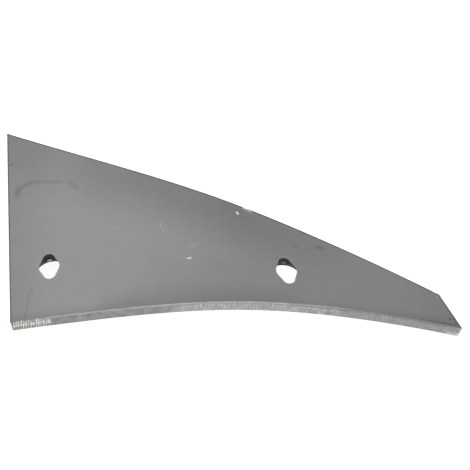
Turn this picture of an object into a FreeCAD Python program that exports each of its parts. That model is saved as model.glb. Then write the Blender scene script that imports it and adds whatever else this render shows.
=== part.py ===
import FreeCAD, Part
import math
import os

# A plough mouldboard shin, the front wear piece of a mouldboard, in millimetres.
# One steel plate: cut from flat stock, punched for two plough bolts, then bent to a
# cylinder. The soil runs over the hollow front face, and the round rear face sits on
# the frog. It lies hollow side down, on both corners of its share end and on its tip.

# plate
thickness = 10.0
rear_radius = 550.0            # bend of the round rear face

# outline of the flat plate, seen from the rear, from the lower share corner
share_end_width = 197.0        # end that butts against the share
share_end_lean = 6.1           # degrees away from the line of the bend
share_end_bevel = 4.0          # degrees off square, longer on the front face
lower_edge_length = 345.0
lower_edge_rise = 5.4          # degrees
wing_end_width = 33.0          # short end towards the wing of the mouldboard
wing_end_lean = 35.4           # degrees
wing_end_bevel = 3.5           # degrees off square, longer on the front face
upper_wing_radius = 2.5        # the other three corners are left sharp
shin_edge_hollow = (7.6, 9.0, 8.4)     # cutting edge, at its quarter points
lower_edge_hollow = (-1.3, 1.2, 0.2)   # wave left by cutting, at its quarter points

# bolt holes
first_hole_from_corner = 25.6  # along the plate from the lower share corner
hole_spacing = 178.8
first_hole_height = 51.3
second_hole_height = 52.3
first_hole_lean = 8.0          # degrees
second_hole_lean = 14.6        # degrees
head_seat_diameter = 26.6      # on the front face
head_seat_angle = 60.0         # full angle of the cone, degrees
neck_width = 15.6
nib_end_width = 9.0
nib_slot_length = 24.8

# workshop allowances
shear_allowance = 6.0          # left on both ends until they are sheared flat
clearance = 2.0                # how far cutting tools run past the metal


def polar(length, degrees):
    angle = math.radians(degrees)
    return FreeCAD.Vector(math.cos(angle), math.sin(angle), 0) * length


# flat positions: x along the plate, across the line of the bend, and y along that line
lower_share = FreeCAD.Vector(0, 0, 0)
upper_share = polar(share_end_width, 90 + share_end_lean)
tip = polar(lower_edge_length, lower_edge_rise)
upper_wing = tip + polar(wing_end_width, 90 + wing_end_lean)


def place_on_bend(flat, radius):
    """Where a point of the flat plate comes to lie once the plate is bent."""
    angle = flat.x / rear_radius
    return FreeCAD.Vector(radius * math.cos(angle), radius * math.sin(angle), flat.y)


def outward(flat):
    """Direction square to the bent plate, out of its rear face."""
    angle = flat.x / rear_radius
    return FreeCAD.Vector(math.cos(angle), math.sin(angle), 0)


def long_edge(start, end, hollow):
    """A long edge through its quarter points, hollow to the left of its run.

    It runs on past both corners, because the ends are sheared after bending."""
    run = end - start
    left = FreeCAD.Vector(-run.y, run.x, 0).normalize()
    points = [start]
    for i, depth in enumerate(hollow):
        points.append(start + run * ((i + 1) / (len(hollow) + 1)) + left * depth)
    points.append(end)
    curve = Part.BSplineCurve()
    curve.interpolate(points)
    before = start - curve.tangent(curve.FirstParameter)[0] * shear_allowance
    beyond = end + curve.tangent(curve.LastParameter)[0] * shear_allowance
    curve.interpolate([before] + points + [beyond])
    return curve


def flat_outline():
    """Outline of the plate before bending, with its ends left long."""
    lower = long_edge(lower_share, tip, lower_edge_hollow)
    shin = long_edge(upper_wing, upper_share, shin_edge_hollow)
    wing_end = Part.LineSegment(lower.EndPoint, shin.StartPoint).toBSpline()
    share_end = Part.LineSegment(shin.EndPoint, lower.StartPoint).toBSpline()
    return [lower, wing_end, shin, share_end]


def wrap(curve, bend):
    """A flat curve laid on a bent face."""
    poles = [FreeCAD.Base.Vector2d(p.x / rear_radius, p.y) for p in curve.getPoles()]
    laid = Part.Geom2d.BSplineCurve2d()
    laid.buildFromPolesMultsKnots(
        poles, curve.getMultiplicities(), curve.getKnots(), False, curve.Degree)
    return laid.toShape(bend)


def bent_blank():
    """The bent plate, with edges square to its faces."""
    outline = flat_outline()
    faces = []
    rims = []
    for radius in (rear_radius, rear_radius - thickness):
        bend = Part.Cylinder()
        bend.Radius = radius
        rim = [wrap(curve, bend) for curve in outline]
        faces.append(Part.Face(bend, Part.Wire(rim)))
        rims.append(rim)
    for rear_edge, front_edge in zip(*rims):
        faces.append(Part.makeRuledSurface(front_edge, rear_edge))
    shell = Part.makeShell(faces)
    shell.sewShape()
    return Part.makeSolid(shell)


def shear_end(plate, start, end, bevel):
    """Trims an end on a plane through two points of the rear outline."""
    p = place_on_bend(start, rear_radius)
    q = place_on_bend(end, rear_radius)
    along = (q - p).normalize()
    away = along.cross(outward((start + end) / 2)).normalize()
    away = FreeCAD.Rotation(along, -bevel).multVec(away)
    square = away.cross(along)
    size = 2 * (p - q).Length + 4 * thickness
    waste = Part.makeBox(size, size, size, FreeCAD.Vector(0, -size / 2, -size / 2))
    turn = FreeCAD.Rotation(away, along, square, "XYZ")
    waste.Placement = FreeCAD.Placement((p + q) / 2, turn)
    return plate.cut(waste).Solids[0]


def round_corner(plate, corner, radius):
    """Rounds one corner of the outline, through the thickness."""
    middle = place_on_bend(corner, rear_radius - thickness / 2)
    edge = min(plate.Edges, key=lambda e: (e.CenterOfMass - middle).Length)
    return plate.makeFillet(radius, [edge]).Solids[0]


def hole_tool(flat, lean):
    """Cutter for one plough bolt hole: head seat, neck and two nib slots."""
    seat_radius = head_seat_diameter / 2
    slope = math.tan(math.radians(head_seat_angle / 2))
    depth = thickness + clearance
    seat = Part.makeCone(
        seat_radius + clearance * slope, seat_radius - thickness * slope, depth,
        FreeCAD.Vector(0, 0, -depth))
    r = neck_width / 2
    end_r = nib_end_width / 2
    reach = nib_slot_length / 2 - end_r
    turn = math.asin((r - end_r) / reach)
    c, s = math.cos(turn), math.sin(turn)
    neck = FreeCAD.Vector(r * c, r * s, 0)
    nib = FreeCAD.Vector(end_r * c, reach + end_r * s, 0)
    top = FreeCAD.Vector(0, reach + end_r, 0)
    side = FreeCAD.Vector(r, 0, 0)

    def mirrored(p, x, y):
        return FreeCAD.Vector(p.x * x, p.y * y, 0)

    outline = Part.Wire([
        Part.Arc(mirrored(neck, 1, -1), side, neck).toShape(),
        Part.makeLine(neck, nib),
        Part.Arc(nib, top, mirrored(nib, -1, 1)).toShape(),
        Part.makeLine(mirrored(nib, -1, 1), mirrored(neck, -1, 1)),
        Part.Arc(mirrored(neck, -1, 1), -side, mirrored(neck, -1, -1)).toShape(),
        Part.makeLine(mirrored(neck, -1, -1), mirrored(nib, -1, -1)),
        Part.Arc(mirrored(nib, -1, -1), -top, mirrored(nib, 1, -1)).toShape(),
        Part.makeLine(mirrored(nib, 1, -1), mirrored(neck, 1, -1))])
    slot = Part.Face(outline).extrude(FreeCAD.Vector(0, 0, depth + clearance))
    slot.translate(FreeCAD.Vector(0, 0, -depth))
    tool = seat.fuse(slot)
    out = outward(flat)
    across = FreeCAD.Vector(-out.y, out.x, 0)
    bend_line = FreeCAD.Vector(0, 0, 1)
    tool.rotate(FreeCAD.Vector(0, 0, 0), FreeCAD.Vector(0, 0, 1), lean)
    tool.Placement = FreeCAD.Placement(
        place_on_bend(flat, rear_radius),
        FreeCAD.Rotation(across, bend_line, out, "XYZ")) * tool.Placement
    return tool


def lay_down(plate):
    """Lays the plate hollow side down on its share end and tip, tip to the right."""
    front = rear_radius - thickness
    a, b, c = [place_on_bend(p, front) for p in (lower_share, tip, upper_share)]
    along = (b - a).normalize()
    up = along.cross(c - a).normalize()
    away = up.cross(along)
    rest = FreeCAD.Placement(a, FreeCAD.Rotation(along, away, up, "XYZ")).inverse()
    plate = plate.transformed(rest.toMatrix()).Solids[0]
    box = plate.optimalBoundingBox(False)
    plate.translate(FreeCAD.Vector(-box.Center.x, -box.Center.y, -box.ZMin))
    return plate


plate = bent_blank()
plate = shear_end(plate, upper_share, lower_share, share_end_bevel)
plate = shear_end(plate, tip, upper_wing, wing_end_bevel)
plate = round_corner(plate, upper_wing, upper_wing_radius)
first_hole = FreeCAD.Vector(first_hole_from_corner, first_hole_height, 0)
second_hole = FreeCAD.Vector(first_hole.x + hole_spacing, second_hole_height, 0)
for flat, lean in ((first_hole, first_hole_lean), (second_hole, second_hole_lean)):
    plate = plate.cut(hole_tool(flat, lean)).Solids[0]
plate = lay_down(plate)

os.makedirs("parts", exist_ok=True)
plate.exportStep("parts/mouldboard_shin.step")
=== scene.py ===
import math

import bpy
import numpy as np
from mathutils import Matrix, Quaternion, Vector
from mathutils.geometry import delaunay_2d_cdt
from mathutils.kdtree import KDTree


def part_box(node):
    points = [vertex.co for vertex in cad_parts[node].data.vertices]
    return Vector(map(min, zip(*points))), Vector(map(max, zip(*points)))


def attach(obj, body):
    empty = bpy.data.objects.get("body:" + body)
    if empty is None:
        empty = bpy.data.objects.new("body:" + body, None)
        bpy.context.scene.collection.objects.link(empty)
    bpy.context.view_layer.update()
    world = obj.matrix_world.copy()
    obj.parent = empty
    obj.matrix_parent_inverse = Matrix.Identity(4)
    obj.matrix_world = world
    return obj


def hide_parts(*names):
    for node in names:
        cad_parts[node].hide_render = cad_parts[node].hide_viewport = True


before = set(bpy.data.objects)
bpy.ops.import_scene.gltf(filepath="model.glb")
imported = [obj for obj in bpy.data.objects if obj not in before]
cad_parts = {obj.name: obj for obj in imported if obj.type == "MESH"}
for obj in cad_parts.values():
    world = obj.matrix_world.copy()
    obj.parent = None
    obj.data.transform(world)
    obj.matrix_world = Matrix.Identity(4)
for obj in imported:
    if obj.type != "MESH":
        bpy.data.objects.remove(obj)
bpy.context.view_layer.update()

# The camera. It stands 2.3 m in front of the lower long edge, a little towards the share
# end, and looks down on the round rear face through a long lens.
aim = Vector((0.0021, -0.0154, 0.0200))
camera_distance = 2.259
camera_azimuth = math.radians(-8.90)
camera_elevation = math.radians(46.69)
camera_roll = math.radians(7.42)
picture_side = 470.0          # pixels
focal_length = 2964.0         # pixels
sensor_side = 36.0            # mm, as lenses are named
nearest_seen = 0.1
farthest_seen = 20.0

back = Vector((
    math.sin(camera_azimuth) * math.cos(camera_elevation),
    -math.cos(camera_azimuth) * math.cos(camera_elevation),
    math.sin(camera_elevation)))
camera = bpy.data.objects.new("camera", bpy.data.cameras.new("camera"))
camera.data.sensor_width = sensor_side
camera.data.lens = sensor_side * focal_length / picture_side
camera.data.clip_start = nearest_seen
camera.data.clip_end = farthest_seen
camera.location = aim + back * camera_distance
camera.rotation_mode = "QUATERNION"
camera.rotation_quaternion = (
    (-back).to_track_quat("-Z", "Y") @ Quaternion((0, 0, 1), camera_roll))
bpy.context.scene.collection.objects.link(camera)
bpy.context.scene.camera = camera
bpy.context.scene.view_settings.view_transform = "Standard"

# The plate. It is one piece of 10 mm hot rolled steel, flame cut to outline, sheared at
# both ends and bent to one radius. Flat places are x along the plate from the lower share
# corner, y along the line of the bend, and depth below the rear face, in metres.
thickness = 0.0100
rear_radius = 0.5500
share_end_width = 0.1970
share_end_lean = 6.1          # degrees, as are the other leans and bevels
share_end_bevel = 4.0
lower_edge_length = 0.3450
lower_edge_rise = 5.4
wing_end_width = 0.0330
wing_end_lean = 35.4
wing_end_bevel = 3.5
shin_edge_hollow = (0.0076, 0.0090, 0.0084)      # at the quarter points of the edge
lower_edge_hollow = (-0.0013, 0.0012, 0.0002)
corner_radii = (0.0003, 0.00025, 0.0025, 0.0003)     # lower share, tip, upper wing, upper share
arc_counts = (4, 4, 9, 4)     # points round each of these corners
rim_radius = 0.0002
overrun = 0.0060              # how far the long edges are drawn past the ends
edge_step = 0.0004            # spacing of points along the outline
edge_points = 4000            # points that draw a long edge before it is spaced out
end_points = 40               # points that draw an end


def polar(length, degrees):
    angle = math.radians(degrees)
    return np.array([math.cos(angle), math.sin(angle)]) * length


lower_share = np.zeros(2)
upper_share = polar(share_end_width, 90 + share_end_lean)
tip = polar(lower_edge_length, lower_edge_rise)
upper_wing = tip + polar(wing_end_width, 90 + wing_end_lean)


def unit(v):
    return v / np.linalg.norm(v)


def on_bend(x, y, depth):
    """Flat places laid on the bend, whose centre line is the vertical axis."""
    angle = np.asarray(x) / rear_radius
    radius = rear_radius - np.asarray(depth)
    across = radius * np.cos(angle)
    return np.stack([across, radius * np.sin(angle), y + 0 * across], -1)


def smooth_curve(points, samples):
    """A smooth line through points, and its directions at the two ends."""
    points = np.asarray(points)
    count = len(points)
    along = np.concatenate([[0], np.cumsum(np.linalg.norm(np.diff(points, axis=0), axis=1))])
    step = np.diff(along)
    slopes = np.zeros_like(points)
    slopes[0] = np.polyfit(along[:4] - along[0], points[:4], 3)[2]
    slopes[-1] = np.polyfit(along[-4:] - along[-1], points[-4:], 3)[2]
    matrix = np.eye(count)
    for i in range(1, count - 1):
        before, after = 1 / step[i - 1], 1 / step[i]
        matrix[i, i - 1:i + 2] = before, 2 * (before + after), after
        slopes[i] = 3 * (
            (points[i] - points[i - 1]) * before ** 2 + (points[i + 1] - points[i]) * after ** 2)
    slopes = np.linalg.solve(matrix, slopes)
    at = np.linspace(0, along[-1], samples)
    i = np.clip(np.searchsorted(along, at, side="right") - 1, 0, count - 2)
    u = ((at - along[i]) / step[i])[:, None]
    h = step[i][:, None]
    line = (
        (2 * u ** 3 - 3 * u ** 2 + 1) * points[i] + (u ** 3 - 2 * u ** 2 + u) * h * slopes[i]
        + (3 * u ** 2 - 2 * u ** 3) * points[i + 1] + (u ** 3 - u ** 2) * h * slopes[i + 1])
    return line, unit(slopes[0]), unit(slopes[-1])


def long_edge(start, end, hollow):
    """A long edge through its quarter points, drawn past both corners."""
    run = end - start
    left = unit(np.array([-run[1], run[0]]))
    points = [start]
    for i, depth in enumerate(hollow):
        points.append(start + run * (i + 1) / (len(hollow) + 1) + left * depth)
    points.append(end)
    first, last = smooth_curve(points, 2)[1:]
    points = [start - first * overrun] + points + [end + last * overrun]
    return smooth_curve(points, edge_points)[0]


lower_edge = long_edge(lower_share, tip, lower_edge_hollow)
shin_edge = long_edge(upper_wing, upper_share, shin_edge_hollow)


def end_x(start, end, bevel, y, depth):
    """Where the plane of a sheared end meets the plate, at each y and depth."""
    p, q = on_bend(*start, 0), on_bend(*end, 0)
    along = unit(q - p)
    middle = (start[0] + end[0]) / 2 / rear_radius
    away = unit(np.cross(along, [math.cos(middle), math.sin(middle), 0]))
    tilt = math.radians(bevel)
    away = away * math.cos(tilt) - np.cross(along, away) * math.sin(tilt)
    reach = math.hypot(away[0], away[1]) * (rear_radius - depth)
    heading = math.atan2(away[1], away[0])
    swing = np.arccos((away @ p - away[2] * y) / reach)
    near = start[0] / rear_radius
    angles = np.stack([heading + swing, heading - swing])
    angles = (angles - near + math.pi) % (2 * math.pi) - math.pi + near
    best = np.abs(angles - near).argmin(0)
    return np.take_along_axis(angles, best[None], 0)[0] * rear_radius


def share_x(y, depth):
    return end_x(upper_share, lower_share, share_end_bevel, y, depth)


def wing_x(y, depth):
    return end_x(tip, upper_wing, wing_end_bevel, y, depth)


def crossing(line, end, depth):
    """How far along a long edge an end cuts it, counted in its points."""
    over = end(line[:, 1], depth) - line[:, 0]
    i = np.flatnonzero(np.sign(over[:-1]) != np.sign(over[1:]))[0]
    return i + over[i] / (over[i] - over[i + 1])


def part_of(line, first, last):
    """The stretch of a line between two counts, with its ends exact."""
    index = np.arange(len(line))
    inner = index[(index > first) & (index < last)]
    at = np.concatenate([[first], inner, [last]])
    return np.stack([np.interp(at, index, line[:, k]) for k in (0, 1)], 1)


def spaced(line, count, trim_start, trim_end):
    """Evenly spaced points on a line, without the trimmed lengths at its ends."""
    along = np.concatenate([[0], np.cumsum(np.linalg.norm(np.diff(line, axis=0), axis=1))])
    at = np.linspace(trim_start, along[-1] - trim_end, count)
    return np.stack([np.interp(at, along, line[:, k]) for k in (0, 1)], 1)


def side_lines(depth):
    """The four sides of the outline at a depth: lower, wing end, shin, share end."""
    lower = part_of(
        lower_edge, crossing(lower_edge, share_x, depth), crossing(lower_edge, wing_x, depth))
    shin = part_of(
        shin_edge, crossing(shin_edge, wing_x, depth), crossing(shin_edge, share_x, depth))
    wing_y = np.linspace(lower[-1, 1], shin[0, 1], end_points)
    share_y = np.linspace(shin[-1, 1], lower[0, 1], end_points)
    wing = np.stack([wing_x(wing_y, depth), wing_y], 1)
    share = np.stack([share_x(share_y, depth), share_y], 1)
    return [lower, wing, shin, share]


side_lengths = (
    lower_edge_length, wing_end_width, math.dist(upper_wing, upper_share), share_end_width)
side_counts = [int(length / edge_step) for length in side_lengths]
side_steps = [arc + side for arc, side in zip(arc_counts, side_counts)]


def outline(depth):
    """The closed outline at a depth, from the lower share corner, with round corners."""
    sides = side_lines(depth)
    trims = []
    arcs = []
    for k, side in enumerate(sides):
        corner = side[0]
        back_way = unit(sides[k - 1][-2] - corner)
        on_way = unit(side[1] - corner)
        half_angle = math.acos(np.clip(back_way @ on_way, -1, 1)) / 2
        trim = corner_radii[k] / math.tan(half_angle)
        centre = corner + unit(back_way + on_way) * corner_radii[k] / math.sin(half_angle)
        start = corner + back_way * trim - centre
        sweep = math.pi - 2 * half_angle
        for i in range(1, arc_counts[k] + 1):
            a = sweep * i / (arc_counts[k] + 1)
            c, s = math.cos(a), math.sin(a)
            turned = (start[0] * c - start[1] * s, start[0] * s + start[1] * c)
            arcs.append(centre + np.array(turned))
        trims.append(trim)
    points = []
    done = 0
    for k, side in enumerate(sides):
        points.extend(arcs[done:done + arc_counts[k]])
        done += arc_counts[k]
        points.extend(spaced(side, side_counts[k], trims[k], trims[(k + 1) % 4]))
    return np.array(points)


def inward(loop):
    """Directions square to a closed loop that runs anticlockwise, towards its inside."""
    way = np.roll(loop, -1, 0) - np.roll(loop, 1, 0)
    way /= np.linalg.norm(way, axis=1)[:, None]
    return np.stack([-way[:, 1], way[:, 0]], 1)


# Rows of the plate's wall, from the rear rim to the front rim: how deep each lies, and
# how far the rounded rim draws it in.
rim_rows = 4
wall_rows = 16
wall = []
for i in range(rim_rows):
    a = math.pi / 2 * i / rim_rows
    wall.append((rim_radius * (1 - math.cos(a)), rim_radius * (1 - math.sin(a))))
for i in range(wall_rows + 1):
    wall.append((rim_radius + (thickness - 2 * rim_radius) * i / wall_rows, 0.0))
for depth, inset in reversed(wall[:rim_rows]):
    wall.append((thickness - depth, inset))

edge_length = sum(side_lengths)
side_starts = np.cumsum((0,) + side_lengths[:-1])


def noise_line(length, pitch, seed):
    """Even random values along a line, one for each pitch, from 0 to 1."""
    steps = int(length / pitch) + 3
    values = np.random.default_rng(seed).random(steps)
    return lambda at: np.interp(np.asarray(at) / pitch, np.arange(steps), values)


def between(value, low, high, soft):
    """1 from low to high, fading to 0 over a soft length on both sides."""
    rise = np.clip((value - low) / soft + 0.5, 0, 1)
    fall = np.clip((high - value) / soft + 0.5, 0, 1)
    return rise * fall


# What the cut and the shears left on the wall: coarse ridges where the flame started, at
# the share end of the lower edge, fine drag lines after it, a strip dressed with a grinder
# near the tip, and one nick in the shin edge.
coarse_ridge = noise_line(edge_length, 0.0011, 11)
fine_ridge = noise_line(edge_length, 0.0007, 12)
wander = noise_line(edge_length, 0.0150, 13)
coarse_depth = 0.00028
fine_depth = 0.00009
wander_depth = 0.00006
coarse_stretch = (0.0010, 0.0270, 0.006)      # start, end and fade along the lower edge
line_lag = 0.0020                             # how far the lines trail at the front face
dressed_stretch = (0.235, 0.343, 0.050)
dressed_depth = 0.00035
dressed_width = 0.0026                        # down from the rear rim
nick_x = 0.1716
nick_length = 0.0050
nick_depth = 0.0004
nick_width = 0.0014
corner_calm = 0.002                           # the corners themselves stay true


def wall_relief(loop, depth):
    """How far the wall lies inside the true outline, at each point of one row."""
    way = np.linalg.norm(np.diff(loop, axis=0, append=loop[:1]), axis=1)
    run = np.concatenate([[0], np.cumsum(way)[:-1]])
    lag = line_lag * (depth / thickness) ** 2
    on_lower = between(run, 0, side_lengths[0], 0.001)
    start = between(run, *coarse_stretch) * on_lower
    ridges = start * coarse_depth * coarse_ridge(run + lag)
    ridges += (1 - start) * fine_depth * fine_ridge(run + lag)
    ridges += wander_depth * wander(run)
    dressed = between(run, *dressed_stretch) * on_lower
    ridges += dressed * dressed_depth * np.clip(1 - depth / dressed_width, 0, 1)
    on_shin = run > side_starts[2]
    nick = np.clip(1 - np.abs(loop[:, 0] - nick_x) / (nick_length / 2), 0, 1) * on_shin
    ridges += nick_depth * np.sqrt(nick) * np.clip(1 - depth / nick_width, 0, 1)
    corners = np.append(run[np.cumsum([0] + side_steps[:-1])], run[-1])
    from_corner = np.abs(run[:, None] - corners).min(1)
    return ridges * np.clip(from_corner / corner_calm - 0.5, 0, 1)


wall_loops = []
for depth, inset in wall:
    loop = outline(depth)
    inset = inset + wall_relief(loop, depth)
    wall_loops.append(loop + inward(loop) * inset[:, None])

# The two holes for plough bolts. Each has a 60 degree seat for the head, cut from the
# hollow front face, a round neck that comes out at the rear face, and two slots for the
# nibs that stop the bolt from turning.
first_hole_x = 0.0256
hole_spacing = 0.1788
hole_places = (               # x, y and lean in degrees
    (first_hole_x, 0.0513, 8.0),
    (first_hole_x + hole_spacing, 0.0523, 14.6))
seat_radius = 0.0266 / 2
seat_slope = math.tan(math.radians(60.0 / 2))
neck_radius = 0.0156 / 2
nib_radius = 0.0090 / 2
nib_reach = 0.0248 / 2 - nib_radius
hole_points = 168
neck_rows = 9
seat_rows = 9
crease_margin = rim_radius * 1.2
seat_rounds = 3               # rounds that settle how high the seat lies on the bend


def neck_reach(angle):
    """Distance from the middle of a hole to its neck and nib slots, in each direction."""
    turn = math.asin((neck_radius - nib_radius) / nib_reach)
    c = np.abs(np.cos(angle))
    s = np.abs(np.sin(angle))
    at = np.arctan2(s, c)
    nib_start = math.atan2(nib_reach + nib_radius * math.sin(turn), nib_radius * math.cos(turn))
    flank = neck_radius / np.cos(at - turn)
    nib = nib_reach * s + np.sqrt(np.maximum(nib_radius ** 2 - (nib_reach * c) ** 2, 0))
    return np.where(at < turn, neck_radius, np.where(at < nib_start, flank, nib))


def hole_row(hole_place, depth, outset):
    """One row of a hole's wall, as flat places. Depth may differ round the hole."""
    x, y, lean = hole_place
    angle = np.linspace(0, 2 * math.pi, hole_points, endpoint=False)
    turned = angle + math.radians(lean)
    height = -depth + 0 * angle
    for _ in range(seat_rounds):
        seat = seat_radius - (height + thickness) * seat_slope
        reach = np.maximum(neck_reach(angle), seat) + outset
        sideways = reach * np.cos(turned)
        height = np.sqrt((rear_radius - depth) ** 2 - sideways ** 2) - rear_radius
    flat_x = x + rear_radius * np.arctan2(sideways, rear_radius + height)
    return np.stack([flat_x, y + reach * np.sin(turned), depth + 0 * angle], 1)


def hole_wall_rows(hole_place):
    """All rows of one hole's wall, from the rear rim to the front rim."""
    angle = np.linspace(0, 2 * math.pi, hole_points, endpoint=False)
    crease = thickness - (seat_radius - neck_reach(angle)) / seat_slope
    crease = np.clip(crease, crease_margin, thickness - crease_margin)
    rows = []
    for depth, inset in wall[:rim_rows]:
        rows.append(hole_row(hole_place, depth, inset))
    for i in range(neck_rows):
        depth = rim_radius + (crease - rim_radius) * i / neck_rows
        rows.append(hole_row(hole_place, depth, 0))
    for i in range(seat_rows + 1):
        depth = crease + (thickness - rim_radius - crease) * i / seat_rows
        rows.append(hole_row(hole_place, depth, 0))
    for depth, inset in wall[-rim_rows:]:
        rows.append(hole_row(hole_place, depth, inset))
    return rows


holes = [hole_wall_rows(hole_place) for hole_place in hole_places]

# The two large faces. Points lie closer together near the outline, the holes and the two
# small dents, so that the rims stay crisp and the faces stay smooth.
face_step = 0.0022
grid_gap = face_step * 0.7    # how far the even points stay from the rings
outline_rings = ((2, 0.0006), (4, 0.0015))       # one point in so many, and how far in
hole_rings = ((2, 0.0005), (3, 0.0013))
ring_gap = 0.0004             # nearer than this to a rim, a ring's point is left out
dents = ((0.1653, 0.1049, 0.0007), (0.1308, 0.0564, 0.0008))     # x, y and radius
dent_rings = 6
rings_in_radius = 3
dent_depth = 0.00022
wave_depth = 0.00003
wave_along, wave_up, wave_bow = 140, 110, 60     # radians to the metre
relief_fade = 0.004           # the faces are true at their rims


def distance_to(points, line):
    """Distance from each flat place to the nearest point of a line."""
    tree = KDTree(len(line))
    for i, (x, y) in enumerate(line):
        tree.insert((x, y, 0), i)
    tree.balance()
    return np.array([tree.find((x, y, 0))[2] for x, y in points])


def inside(points, loop):
    """Which points lie inside a closed loop."""
    found = np.zeros(len(points), bool)
    x, y = points[:, 0], points[:, 1]
    for (x0, y0), (x1, y1) in zip(loop, np.roll(loop, -1, 0)):
        if y0 != y1:
            hit = ((y0 > y) != (y1 > y)) & (x < (x1 - x0) * (y - y0) / (y1 - y0) + x0)
            found ^= hit
    return found


def face_mesh(outer, rims, with_dents):
    """Points and triangles that fill an outline but for its holes.

    The first points are the outer loop, then each rim, in their own order."""
    loops = [outer] + rims
    edges = []
    first = 0
    for loop in loops:
        n = len(loop)
        edges += [(first + i, first + (i + 1) % n) for i in range(n)]
        first += n
    extra = []
    for skip, gap in outline_rings:
        extra.append((outer + inward(outer) * gap)[::skip])
    for rim in rims:
        for skip, gap in hole_rings:
            extra.append((rim - inward(rim) * gap)[::skip])
    if with_dents:
        for x, y, size in dents:
            for ring in range(1, dent_rings + 1):
                turns = np.arange(ring * 6) * 2 * math.pi / (ring * 6)
                circle = np.stack([np.cos(turns), np.sin(turns)], 1)
                extra.append(np.array([x, y]) + circle * size * ring / rings_in_radius)
    extra = np.concatenate(extra)
    keep = inside(extra, outer) & (distance_to(extra, np.concatenate(loops)) > ring_gap)
    near = np.concatenate(loops + [extra[keep]])
    low, high = outer.min(0), outer.max(0)
    rows = np.arange(low[1], high[1], face_step * math.sqrt(3) / 2)
    grid = []
    for i, y in enumerate(rows):
        x = np.arange(low[0] + face_step / 2 * (i % 2), high[0], face_step)
        grid.append(np.stack([x, np.full(len(x), y)], 1))
    grid = np.concatenate(grid)
    keep = inside(grid, outer) & (distance_to(grid, near) > grid_gap)
    for rim in rims:
        keep &= ~inside(grid, rim)
    points = np.concatenate([near, grid[keep]])
    millimetres = [Vector(p) for p in points * 1000]
    made = delaunay_2d_cdt(millimetres, edges, [], 0, 1e-6)
    names = np.array([source[0] for source in made[3]])
    triangles = names[np.array(made[2])]
    middle = points[triangles].mean(1)
    keep = inside(middle, outer)
    for rim in rims:
        keep &= ~inside(middle, rim)
    return points, triangles[keep]


def face_relief(x, y):
    """The slight unevenness that rolling and bending leave, and the small dents."""
    bowed = np.sin(x * wave_along + 2 * np.sin(y * wave_bow))
    waves = 0.5 - 0.5 * bowed * np.sin(y * wave_up + 1.3)
    found = wave_depth * waves
    for dent_x, dent_y, size in dents:
        away = np.hypot(x - dent_x, y - dent_y) / size
        found = found + dent_depth * np.exp(-away ** 2 * 1.4)
    return found


places = []
faces = []
finishes = []
rolled, lower_cut, other_cut, hole_wall = range(4)


def add_face(outer, rims, depth, flip):
    """Adds a large face, and returns the vertex numbers of its outline and rims."""
    points, triangles = face_mesh(outer, rims, not flip)
    first = len(places)
    gap = distance_to(points, outer)
    for rim in rims:
        gap = np.minimum(gap, distance_to(points, rim))
    fade = np.clip(gap / relief_fade, 0, 1)
    relief = face_relief(points[:, 0], points[:, 1]) * fade
    deep = depth - relief if flip else depth + relief
    places.extend(np.stack([points[:, 0], points[:, 1], deep], 1))
    for t in triangles:
        faces.append(tuple(first + int(i) for i in (t[::-1] if flip else t)))
        finishes.append(rolled)
    numbers = []
    at = first
    for loop in [outer] + rims:
        numbers.append(np.arange(at, at + len(loop)))
        at += len(loop)
    return numbers


def add_wall(rows, rear_numbers, front_numbers, finish_of, solid_inside):
    """Joins the rims of the two faces by the rows of a wall between them."""
    count = len(rear_numbers)
    numbers = [rear_numbers]
    for row in rows[1:-1]:
        first = len(places)
        places.extend(row)
        numbers.append(np.arange(first, first + count))
    numbers.append(front_numbers)
    for upper, lower in zip(numbers, numbers[1:]):
        for i in range(count):
            j = (i + 1) % count
            quad = (upper[i], upper[j], lower[j], lower[i])
            faces.append(tuple(int(k) for k in (quad[::-1] if solid_inside else quad)))
            finishes.append(finish_of[i])


rear_numbers = add_face(wall_loops[0], [rows[0][:, :2] for rows in holes], 0.0, False)
front_numbers = add_face(wall_loops[-1], [rows[-1][:, :2] for rows in holes], thickness, True)
outline_rows = [
    np.column_stack([loop, np.full(len(loop), depth)])
    for loop, (depth, inset) in zip(wall_loops, wall)]
lower_points = side_steps[0]
outline_finish = [
    lower_cut if i < lower_points else other_cut for i in range(len(wall_loops[0]))]
add_wall(outline_rows, rear_numbers[0], front_numbers[0], outline_finish, True)
for k, rows in enumerate(holes):
    add_wall(rows, rear_numbers[k + 1], front_numbers[k + 1], [hole_wall] * hole_points, False)

# The bent plate lies on the front corners of its share end and on its tip. Its place on
# the floor is that of the solid plate.
places = np.array(places)
corner_a = on_bend(*lower_share, thickness)
corner_b = on_bend(*tip, thickness)
corner_c = on_bend(*upper_share, thickness)
along = unit(corner_b - corner_a)
up = unit(np.cross(along, corner_c - corner_a))
axes = np.stack([along, np.cross(up, along), up])
laid = (on_bend(places[:, 0], places[:, 1], places[:, 2]) - corner_a) @ axes.T
sharp = np.concatenate([
    (on_bend(side[:, 0], side[:, 1], depth) - corner_a) @ axes.T
    for depth in (0.0, thickness) for side in side_lines(depth)])
solid_low, solid_high = (np.array(c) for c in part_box("mouldboard_shin"))
shift = (solid_low + solid_high) / 2 - (sharp.min(0) + sharp.max(0)) / 2
shift[2] = solid_low[2] - sharp[:, 2].min()

sharp_angle = math.radians(50)
steel_plate = bpy.data.objects.new("steel_plate", bpy.data.meshes.new("steel_plate"))
mesh = steel_plate.data
mesh.from_pydata([tuple(p) for p in laid + shift], [], faces)
mesh.polygons.foreach_set("material_index", finishes)
mesh.polygons.foreach_set("use_smooth", [True] * len(faces))

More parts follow.
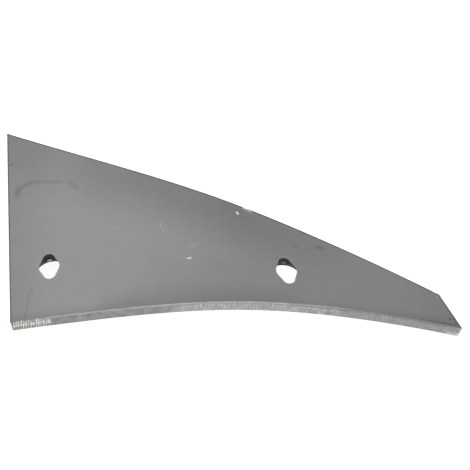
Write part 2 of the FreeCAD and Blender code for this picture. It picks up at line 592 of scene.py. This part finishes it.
# Each point keeps its flat place and its distance to the rims, for the finishes.
flat_place = mesh.attributes.new("flat_place", "FLOAT_VECTOR", "POINT")
flat_place.data.foreach_set("vector", places.astype(np.float32).ravel())
gap_lines = (
    ("rim_gap", wall_loops[rim_rows]),
    ("lower_gap", wall_loops[rim_rows][:lower_points]),
    ("hole_gap", np.concatenate([rows[0][:, :2] for rows in holes])))
for name, line in gap_lines:
    gap = mesh.attributes.new(name, "FLOAT", "POINT")
    gap.data.foreach_set("value", distance_to(places[:, :2], line).astype(np.float32))
mesh.validate()
mesh.update()
mesh.set_sharp_from_angle(angle=sharp_angle)
bpy.context.scene.collection.objects.link(steel_plate)


class Shade:
    """A socket of a material. Sums and products of these add the nodes that they need."""

    def __init__(self, tree, socket=None):
        self.tree = tree
        self.socket = socket

    def add(self, kind, settings=None, inputs=None, output=0):
        """Adds a node: its settings first, then its inputs, as numbers or links."""
        node = self.tree.nodes.new("ShaderNode" + kind)
        for name, value in (settings or {}).items():
            setattr(node, name, value)
        for name, value in (inputs or {}).items():
            if isinstance(value, Shade):
                self.tree.links.new(value.socket, node.inputs[name])
            else:
                node.inputs[name].default_value = value
        return Shade(self.tree, node.outputs[output] if node.outputs else None)

    def maths(self, operation, a, b=0.0):
        return self.add("Math", {"operation": operation}, {0: a, 1: b})

    def __add__(self, other):
        return self.maths("ADD", self, other)

    def __radd__(self, other):
        return self.maths("ADD", other, self)

    def __sub__(self, other):
        return self.maths("SUBTRACT", self, other)

    def __rsub__(self, other):
        return self.maths("SUBTRACT", other, self)

    def __mul__(self, other):
        return self.maths("MULTIPLY", self, other)

    def __rmul__(self, other):
        return self.maths("MULTIPLY", other, self)

    def __truediv__(self, other):
        return self.maths("DIVIDE", self, other)

    def __rtruediv__(self, other):
        return self.maths("DIVIDE", other, self)

    def __pow__(self, other):
        return self.maths("POWER", self, other)

    def __rpow__(self, other):
        return self.maths("POWER", other, self)

    def least(self, other):
        return self.maths("MINIMUM", self, other)

    def most(self, other):
        return self.maths("MAXIMUM", self, other)

    def wave(self, pitch):
        """A wave from 0 to 1 that repeats after each pitch."""
        return self.maths("SINE", self * (2 * math.pi / pitch)) * 0.5 + 0.5

    def step(self, low, high):
        """0 before low and 1 past high, which may be the smaller one, with a soft rise."""
        first, last = (0.0, 1.0) if low < high else (1.0, 0.0)
        return self.add(
            "MapRange", {"interpolation_type": "SMOOTHSTEP"},
            {"Value": self, "From Min": min(low, high), "From Max": max(low, high),
             "To Min": first, "To Max": last})

    def band(self, low, high, soft):
        """1 from low to high, and 0 more than a soft length outside."""
        return self.step(low - soft, low) * self.step(high + soft, high)

    def mix(self, a, b):
        """Value a where this mask is 0, value b where it is 1."""
        return a * (1 - self) + b * self

    def blend(self, a, b):
        """Colour a where this mask is 0, colour b where it is 1."""
        a, b = ((*c, 1) if isinstance(c, tuple) else c for c in (a, b))
        return self.add("Mix", {"data_type": "RGBA"}, {0: self, 6: a, 7: b}, 2)

    def vector(self, operation, other, output=0):
        return self.add("VectorMath", {"operation": operation}, {0: self, 1: other}, output)

    def dot(self, other):
        return self.vector("DOT_PRODUCT", other, 1)

    def length(self):
        return self.add("VectorMath", {"operation": "LENGTH"}, {0: self}, 1)

    def axis(self, index):
        return self.add("SeparateXYZ", None, {0: self}, index)

    def noise(self, scale, detail=2.0, rough=0.5, factors=(1, 1, 1)):
        """Noise from 0 to 1 on this place, with features of about 1 / scale."""
        place = self.vector("MULTIPLY", factors)
        return self.add(
            "TexNoise", None,
            {"Vector": place, "Scale": scale, "Detail": detail, "Roughness": rough})

    def flat_place(self):
        """The flat place of a point of the plate."""
        return self.add("Attribute", {"attribute_name": "flat_place"}, None, 1)

    def gap(self, name):
        """One of the distances to the rims."""
        return self.add("Attribute", {"attribute_name": name}, None, 2)


def new_material(name):
    """A new material of the plate, still without nodes."""
    material = bpy.data.materials.new(name)
    material.use_nodes = True
    material.node_tree.nodes.clear()
    mesh.materials.append(material)
    return Shade(material.node_tree)


def steel(shade, colour, roughness, height, relief, metallic):
    """Finishes a material. Its relief is in metres, for a height from 0 to 1."""
    normal = shade.add("Bump", None, {"Strength": 1.0, "Distance": relief, "Height": height})
    shader = shade.add("BsdfPrincipled", None, {
        "Base Color": colour, "Roughness": roughness, "Metallic": metallic,
        "IOR": 1.45, "Normal": normal})
    shade.add("OutputMaterial", None, {"Surface": shader})


def spot(level, x, y, size_x, size_y):
    """A soft mark on flat places: 1 in its middle, 0 outside its size."""
    away = level.vector("SUBTRACT", (x, y, 0)).vector("DIVIDE", (size_x, size_y, 1))
    away = away.vector("MULTIPLY", (1, 1, 0))
    return (1 - away.dot(away)).most(0.0) ** 1.5


def near_path(level, points):
    """Distance from a line through flat places."""
    found = None
    for (x0, y0), (x1, y1) in zip(points, points[1:]):
        run = (x1 - x0, y1 - y0, 0)
        span = run[0] ** 2 + run[1] ** 2
        gap = level.vector("SUBTRACT", (x0, y0, 0))
        share = (gap.dot(run) / span).most(0.0).least(1.0)
        foot = level.add("VectorMath", {"operation": "SCALE"}, {0: run, "Scale": share})
        size = gap.vector("SUBTRACT", foot).length()
        found = size if found is None else found.least(size)
    return found


# The rolled faces: grey mill scale, smooth and a little glossy. Light and shade are painted
# into the rear face: lightest round the first hole, darker along the shin edge, over the lower
# rim and at the tip. The rear face carries a dark smear, a few rub marks, bright steel in and
# beside the small dents, and a painted highlight round the holes.
scale_grey = (0.266, 0.254, 0.270)
scale_cool = (0.255, 0.258, 0.268)
bare_steel_and_highlight = (0.78, 0.78, 0.77)
black = (0, 0, 0)
shin_slope = 0.396            # how fast the shin edge falls towards the tip
smear_path = (
    (-0.0068, 0.1300), (-0.0019, 0.1364), (0.0035, 0.1390), (0.0147, 0.1388), (0.0284, 0.1361))
smear_end = ((0.0347, 0.1356), (0.0376, 0.1332), (0.0412, 0.1284))
faint_path = ((0.0142, 0.0310), (0.0123, 0.0224), (0.0117, 0.0117), (0.0112, 0.0010))
faint_strength = 0.13
scratches = (                 # path and strength
    (((0.1079, 0.0906), (0.1083, 0.0877), (0.1101, 0.0832)), 0.10),
    (((0.1117, 0.0895), (0.1121, 0.0854)), 0.05),
    (((0.1298, 0.0671), (0.1333, 0.0676), (0.1373, 0.0714)), 0.09),
    (((0.1312, 0.0719), (0.1355, 0.0687)), 0.04))
flecks = (                    # path, reach to each side and strength
    (((0.1648, 0.1051), (0.1657, 0.1036)), 0.0012, 0.95),
    (((0.1300, 0.0562), (0.1320, 0.0567)), 0.0011, 0.85),
    (((0.1272, 0.0574), (0.1276, 0.0568)), 0.0008, 0.12),
    (((0.1696, 0.1098), (0.1752, 0.1072)), 0.0013, 0.50))
bright_spots = (              # x, y, size along, size up and strength
    (0.3202, 0.0590, 0.0012, 0.0012, 0.25),
    (0.3228, 0.0564, 0.0012, 0.0014, 0.25),
    (0.0255, 0.0850, 0.0010, 0.0010, 0.06),
    (0.0744, 0.0865, 0.0042, 0.0026, 0.03))
dark_spots = (
    (-0.0060, 0.1312, 0.0036, 0.0100, 0.352),
    (-0.0147, 0.1610, 0.0050, 0.0014, 0.320),
    (0.2294, 0.0796, 0.0058, 0.0028, 0.256),
    (0.2104, 0.0778, 0.0046, 0.0028, 0.136),
    (0.0916, 0.0122, 0.0150, 0.0036, 0.104),
    (0.2353, 0.0208, 0.0120, 0.0028, 0.080),
    (0.3329, 0.0382, 0.0015, 0.0015, 0.720),
    (0.3362, 0.0393, 0.0012, 0.0016, 0.720))

shade = new_material("rolled_face")
place = shade.flat_place()
level = place.vector("MULTIPLY", (1, 1, 0))
x, y, depth = (place.axis(i) for i in range(3))
rim = shade.gap("rim_gap")
low_rim = shade.gap("lower_gap")
hole_rim = shade.gap("hole_gap")
rear = depth.step(0.0060, 0.0040)
cloud = place.noise(26, 3.0, 0.5, (1, 1, 8))
mottle = place.noise(150, 3.0, 0.6, (1, 1, 8))
grain = place.noise(1100, 2.0, 0.6)
rolling = place.noise(300, 2.0, 0.5, (1, 0.04, 1))
ragged = level.noise(420, 2.0) - 0.5

# Painted light and shade: the scale is paler past the second hole, and darker along the shin
# edge, at both ends, over the lower rim, and low down between the holes.
to_shin = y + x * shin_slope + (cloud - 0.5) * 0.030
painted_shading = x.step(0.200, 0.255) * 0.06
painted_shading = painted_shading - to_shin.step(0.108, 0.182) * x.step(0.310, 0.200) * 0.17
painted_shading = painted_shading - to_shin.step(0.118, 0.166) * x.band(0.060, 0.165, 0.045) * 0.13
painted_shading = painted_shading - x.step(0.034, -0.004) * 0.11 - x.step(0.275, 0.335) * 0.17
low_rim_shade = 0.05 + x.step(0.088, 0.070) * 0.10 + x.step(0.225, 0.250) * 0.10
painted_shading = painted_shading - low_rim.step(0.010, 0.0) * low_rim_shade
painted_shading = painted_shading - low_rim.step(0.024, 0.004) * x.band(0.085, 0.200, 0.030) * 0.16
painted_shading = painted_shading - spot(level, 0.135, 0.030, 0.055, 0.040) * 0.08
tone = 1 + painted_shading * rear + (cloud - 0.5) * 0.16 + (mottle - 0.5) * 0.14
tone = tone + (grain - 0.5) * 0.18 + (rolling - 0.5) * 0.06

smear = near_path(level, smear_path).least(near_path(level, smear_end))
smear_strength = 0.16 + x.step(0.014, -0.004) * 0.10
dark = (smear + ragged * 0.0028).step(0.0031, 0.0002) * smear_strength
faint = (near_path(level, faint_path) + ragged * 0.002).step(0.002, 0.0)
dark = dark.most(faint * faint_strength)
for spot_x, spot_y, size_x, size_y, strength in dark_spots:
    dark = dark.most(spot(level, spot_x, spot_y, size_x, size_y) * strength)
rim_line = rim.step(0.0017, 0.0005) * low_rim.step(0.0008, 0.0018)
tip_rim = rim.step(0.0030, 0.0004) * x.step(0.300, 0.325)
dark = dark.most(rim_line * 0.60).most(tip_rim * 0.36)

# Painted highlight round the hole rims; bare steel in the scratches, flecks and bright spots.
bare_and_highlight = hole_rim.step(0.0011, 0.0003) * 0.09
for path, strength in scratches:
    rubbed = (near_path(level, path) + ragged * 0.003).step(0.0011, 0.0)
    bare_and_highlight = bare_and_highlight.most(rubbed * strength)
for path, reach, strength in flecks:
    bare_and_highlight = bare_and_highlight.most(near_path(level, path).step(reach, reach * 0.3) * strength)
for spot_x, spot_y, size_x, size_y, strength in bright_spots:
    bare_and_highlight = bare_and_highlight.most(spot(level, spot_x, spot_y, size_x, size_y) * strength)
bare_and_highlight = bare_and_highlight * rear

cool = x.band(0.012, 0.075, 0.020) * y.step(0.135, 0.105) + x.step(0.195, 0.230)
hue = (cloud * 2 - 0.7 + cool * 0.4).blend(scale_grey, scale_cool)
marked = (tone * (1 - dark * rear)).blend(black, hue)
colour = bare_and_highlight.blend(marked, bare_steel_and_highlight)
roughness = 0.44 + (mottle - 0.5) * 0.12 - bare_and_highlight * 0.15
steel(shade, colour, roughness, grain * 0.7 + rolling * 0.3, relief=0.00002, metallic=0.30)

# The cut of the lower edge, bare steel left by the flame. It starts at the share end with
# bright ridges, their crests painted with highlights, goes on plain and mottled, then in fine
# even drag lines and a rough stretch, and ends dull under the dressed strip, with a painted
# highlight at the tip. A pale lip of worn metal with a painted highlight follows the rear rim,
# over a painted shadow.
ridges_end = (0.0250, 0.0276)
plain_end = (0.1150, 0.1300)
drag_end = (0.2050, 0.2080)
rough_end = (0.2420, 0.2500)
drag_pitch = 0.0019
warm_white = (1, 0.995, 0.975)
green_white = (0.965, 1, 0.985)
blue_white = (0.975, 0.98, 1)
straw_white = (1, 0.975, 0.925)

shade = new_material("lower_cut")
place = shade.flat_place()
x = place.axis(0)
depth = place.axis(2)
drift = place.noise(260, 2.0, 0.6, (1, 0, 0.2))
blotch = place.noise(230, 3.0, 0.6, (0.7, 0, 1))
streak = place.noise(420, 2.0, 0.5, (0.10, 0, 1))
scored = place.noise(1300, 2.0, 0.6, (1, 0, 0.10))
speck = place.noise(620, 2.0, 0.7, (1, 0, 1))

# The ridges lean with the cut. Their crests are bare steel with painted highlights, brightest
# at mid-thickness and dull at the front, with a dark line above the middle at the very start.
ridge_lean = depth * 0.28
teeth = (x + ridge_lean + drift * 0.0026).wave(drag_pitch).step(0.10, 0.90)
teeth = teeth * place.noise(420, 2.0, 0.6, (1, 0, 0.5)).step(0.34, 0.54)
down = 0.62 + depth.step(0.0003, 0.0018) * 0.38 + depth.band(0.0047, 0.0055, 0.0012) * 0.34
down = down - depth.band(0.0028, 0.0038, 0.0008) * x.step(0.0150, 0.0080) * 0.24
down = down - depth.step(0.0062, 0.0074) * 0.26
ridged = (0.36 + teeth * (0.28 + blotch * 0.60)) * down
ridged = ridged.least(0.95) * (0.60 + (x + ridge_lean).step(0.0020, 0.0032) * 0.40)

# The plain stretch opens with one bright splash of slag, where the ridges stop.
plain = 0.325 + (streak - 0.5) * 0.14 + (blotch - 0.5) * 0.42 + (speck - 0.5) * 0.42
splash = x.band(0.0280, 0.0290, 0.0016) * depth.band(0.0030, 0.0066, 0.0014)
plain = plain + splash * (0.10 + blotch * 0.60)

drag = (x - depth * 0.12 + drift * 0.0030).wave(drag_pitch)
dragged = 0.470 + (drag - 0.5) * 0.15 + (scored - 0.5) * 0.62 + (blotch - 0.5) * 0.40
rough = 0.450 + (blotch - 0.5) * 0.90 + (speck - 0.5) * 0.60

# The dull end is darker in the dressed strip. A painted highlight runs along its front rim
# near the tip and over its last few millimetres.
dull = 0.370 + (blotch - 0.5) * 0.34 + (speck - 0.5) * 0.46
strip = depth.step(0.0030, 0.0016) * x.step(0.3390, 0.3340)
dull = dull * (1 - strip * (0.20 + x.step(0.270, 0.295) * 0.10))
dull = dull + x.band(0.3355, 0.3430, 0.004) * depth.band(0.0070, 0.0096, 0.0008) * 0.26
dull = dull + x.step(0.3416, 0.3428) * 0.16

tone = x.step(*ridges_end).mix(ridged, plain)
tone = x.step(*plain_end).mix(tone, dragged)
tone = x.step(*drag_end).mix(tone, rough)
tone = x.step(*rough_end).mix(tone, dull)

# The lip is worn metal with a painted highlight, over a painted shadow. Both rims of the cut
# are a little darker.
lip = depth.band(0.0003, 0.0013, 0.0003) * x.band(0.0290, 0.2480, 0.008)
lip_tone = 0.52 + (place.noise(110, 2.0, 0.6) - 0.5) * 0.30 + (speck - 0.5) * 0.5
lip_tone = lip_tone * (1 - x.step(0.2040, 0.2100) * 0.16)
painted_lip_shadow = depth.band(0.0015, 0.0025, 0.0003) * x.band(0.1250, 0.2480, 0.006)
tone = tone * (1 - painted_lip_shadow * (0.20 + x.step(0.2050, 0.2100) * 0.26))
tone = lip.mix(tone, lip_tone)
tone = tone * (1 - depth.step(0.0003, 0.0) * 0.30) * (1 - depth.step(0.0085, 0.0098) * 0.14)

hue = x.band(0.1500, 0.2050, 0.004).blend(warm_white, green_white)
hue = x.step(0.2440, 0.2520).blend(hue, blue_white)
hue = x.step(0.0290, 0.0250).blend(hue, straw_white)
colour = tone.blend(black, hue)
steel(shade, colour, 0.42 + blotch * 0.16, scored, relief=0.00006, metallic=0.35)

# The other edges: both ends are sheared, with a smooth band next to the rear face and a
# rougher break below it, and the shin edge is cut. They are duller than the lower edge.
smooth_band = (0.0030, 0.0038)      # where the smooth band ends and the break begins

shade = new_material("other_cuts")
place = shade.flat_place()
depth = place.axis(2)
wear = place.noise(120, 3.0, 0.6)
scored = place.noise(1000, 2.0, 0.6, (1, 1, 0.06))
uneven = place.noise(90, 2.0, 0.5, (1, 1, 0)) - 0.5
broken = (depth + uneven * 0.0030).step(*smooth_band)
tone = 0.20 - broken * 0.05 + (scored - 0.5) * 0.08 + (wear - 0.5) * 0.09
tone = tone * (1 - depth.step(0.0007, 0.0002) * 0.5)
colour = tone.blend(black, (1, 0.985, 0.965))
roughness = 0.40 + broken * 0.18 + (wear - 0.5) * 0.1
height = scored * 0.5 + wear * broken * 0.5
steel(shade, colour, roughness, height, relief=0.00012, metallic=0.35)

# The walls of the holes: dark scale, scored by the punch, with a short painted glint in each
# hole and one dark groove above that of the first. The rear rim carries a painted highlight.
painted_glints = (                      # from x, to x, from depth, to depth and strength
    (0.0220, 0.0247, 0.0065, 0.0075, 0.85),
    (0.2017, 0.2040, 0.0052, 0.0062, 0.26))

shade = new_material("hole_walls")
place = shade.flat_place()
x = place.axis(0)
depth = place.axis(2)
patch = place.noise(260, 3.0, 0.6)
scored = place.noise(900, 2.0, 0.6, (1, 1, 0.10))
tone = 0.048 + (scored - 0.5) * 0.12 + patch.step(0.55, 0.70) * 0.06
for from_x, to_x, from_depth, to_depth, strength in painted_glints:
    glint = x.band(from_x, to_x, 0.0008) * depth.band(from_depth, to_depth, 0.0007)
    tone = tone + glint * strength * (0.60 + patch * 0.80)
groove = x.band(0.0224, 0.0246, 0.0006) * depth.band(0.0042, 0.0052, 0.0006)
tone = tone - groove * 0.04
# A painted highlight along the rear rim.
tone = (tone + depth.step(0.0006, 0.0002) * 0.20).most(0.003)
colour = tone.blend(black, (1, 0.985, 0.96))
steel(shade, colour, 0.60 + patch * 0.2, scored, relief=0.00010, metallic=0.30)

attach(steel_plate, "root")
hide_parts("mouldboard_shin")

# The floor and the light. A white table, a wide softbox behind and above the share end, a
# weaker one in front, and even light all round. The table shows white to the camera and in
# the steel, and keeps the shadow of the plate.
floor_half = 3.0
table_white = 0.80
table_glow = 0.86             # what lifts the table to white where it is seen
room_light = 0.50
softboxes = (                 # name, place, side and power in watts
    ("back_softbox", (-0.55, 1.15, 1.25), 1.3, 7.0),
    ("front_softbox", (0.3, -1.6, 0.9), 1.0, 4.0))

floor = bpy.data.objects.new("floor", bpy.data.meshes.new("floor"))
floor_corners = [
    (-floor_half, -floor_half, 0), (floor_half, -floor_half, 0),
    (floor_half, floor_half, 0), (-floor_half, floor_half, 0)]
floor.data.from_pydata(floor_corners, [], [(0, 1, 2, 3)])
bpy.context.scene.collection.objects.link(floor)


def in_view(shade):
    """1 where the camera looks, straight or by way of gloss or glass, and 0 elsewhere."""
    camera_ray = shade.add("LightPath", None, None, "Is Camera Ray")
    glossy_ray = shade.add("LightPath", None, None, "Is Glossy Ray")
    glass_ray = shade.add("LightPath", None, None, "Is Transmission Ray")
    return camera_ray.most(glossy_ray).most(glass_ray)


table = bpy.data.materials.new("table")
table.use_nodes = True
table.node_tree.nodes.clear()
floor.data.materials.append(table)
shade = Shade(table.node_tree)
matt = shade.add("BsdfDiffuse", None, {"Color": (table_white, table_white, table_white, 1)})
glow = shade.add(
    "Emission", None, {"Color": (1, 1, 1, 1), "Strength": in_view(shade) * table_glow})
both = shade.add("AddShader", None, {0: matt, 1: glow})
shade.add("OutputMaterial", None, {"Surface": both})

world = bpy.data.worlds.new("room")
world.use_nodes = True
world.node_tree.nodes.clear()
bpy.context.scene.world = world
shade = Shade(world.node_tree)
sky = shade.add("Background", None, {
    "Color": (1, 1, 1, 1), "Strength": room_light + in_view(shade) * (1 - room_light)})
shade.add("OutputWorld", None, {"Surface": sky})

for name, stand, side, power in softboxes:
    lamp = bpy.data.objects.new(name, bpy.data.lights.new(name, "AREA"))
    lamp.data.shape = "SQUARE"
    lamp.data.size = side
    lamp.data.energy = power
    lamp.location = stand
    lamp.rotation_mode = "QUATERNION"
    lamp.rotation_quaternion = (-Vector(stand)).to_track_quat("-Z", "Y")
    bpy.context.scene.collection.objects.link(lamp)
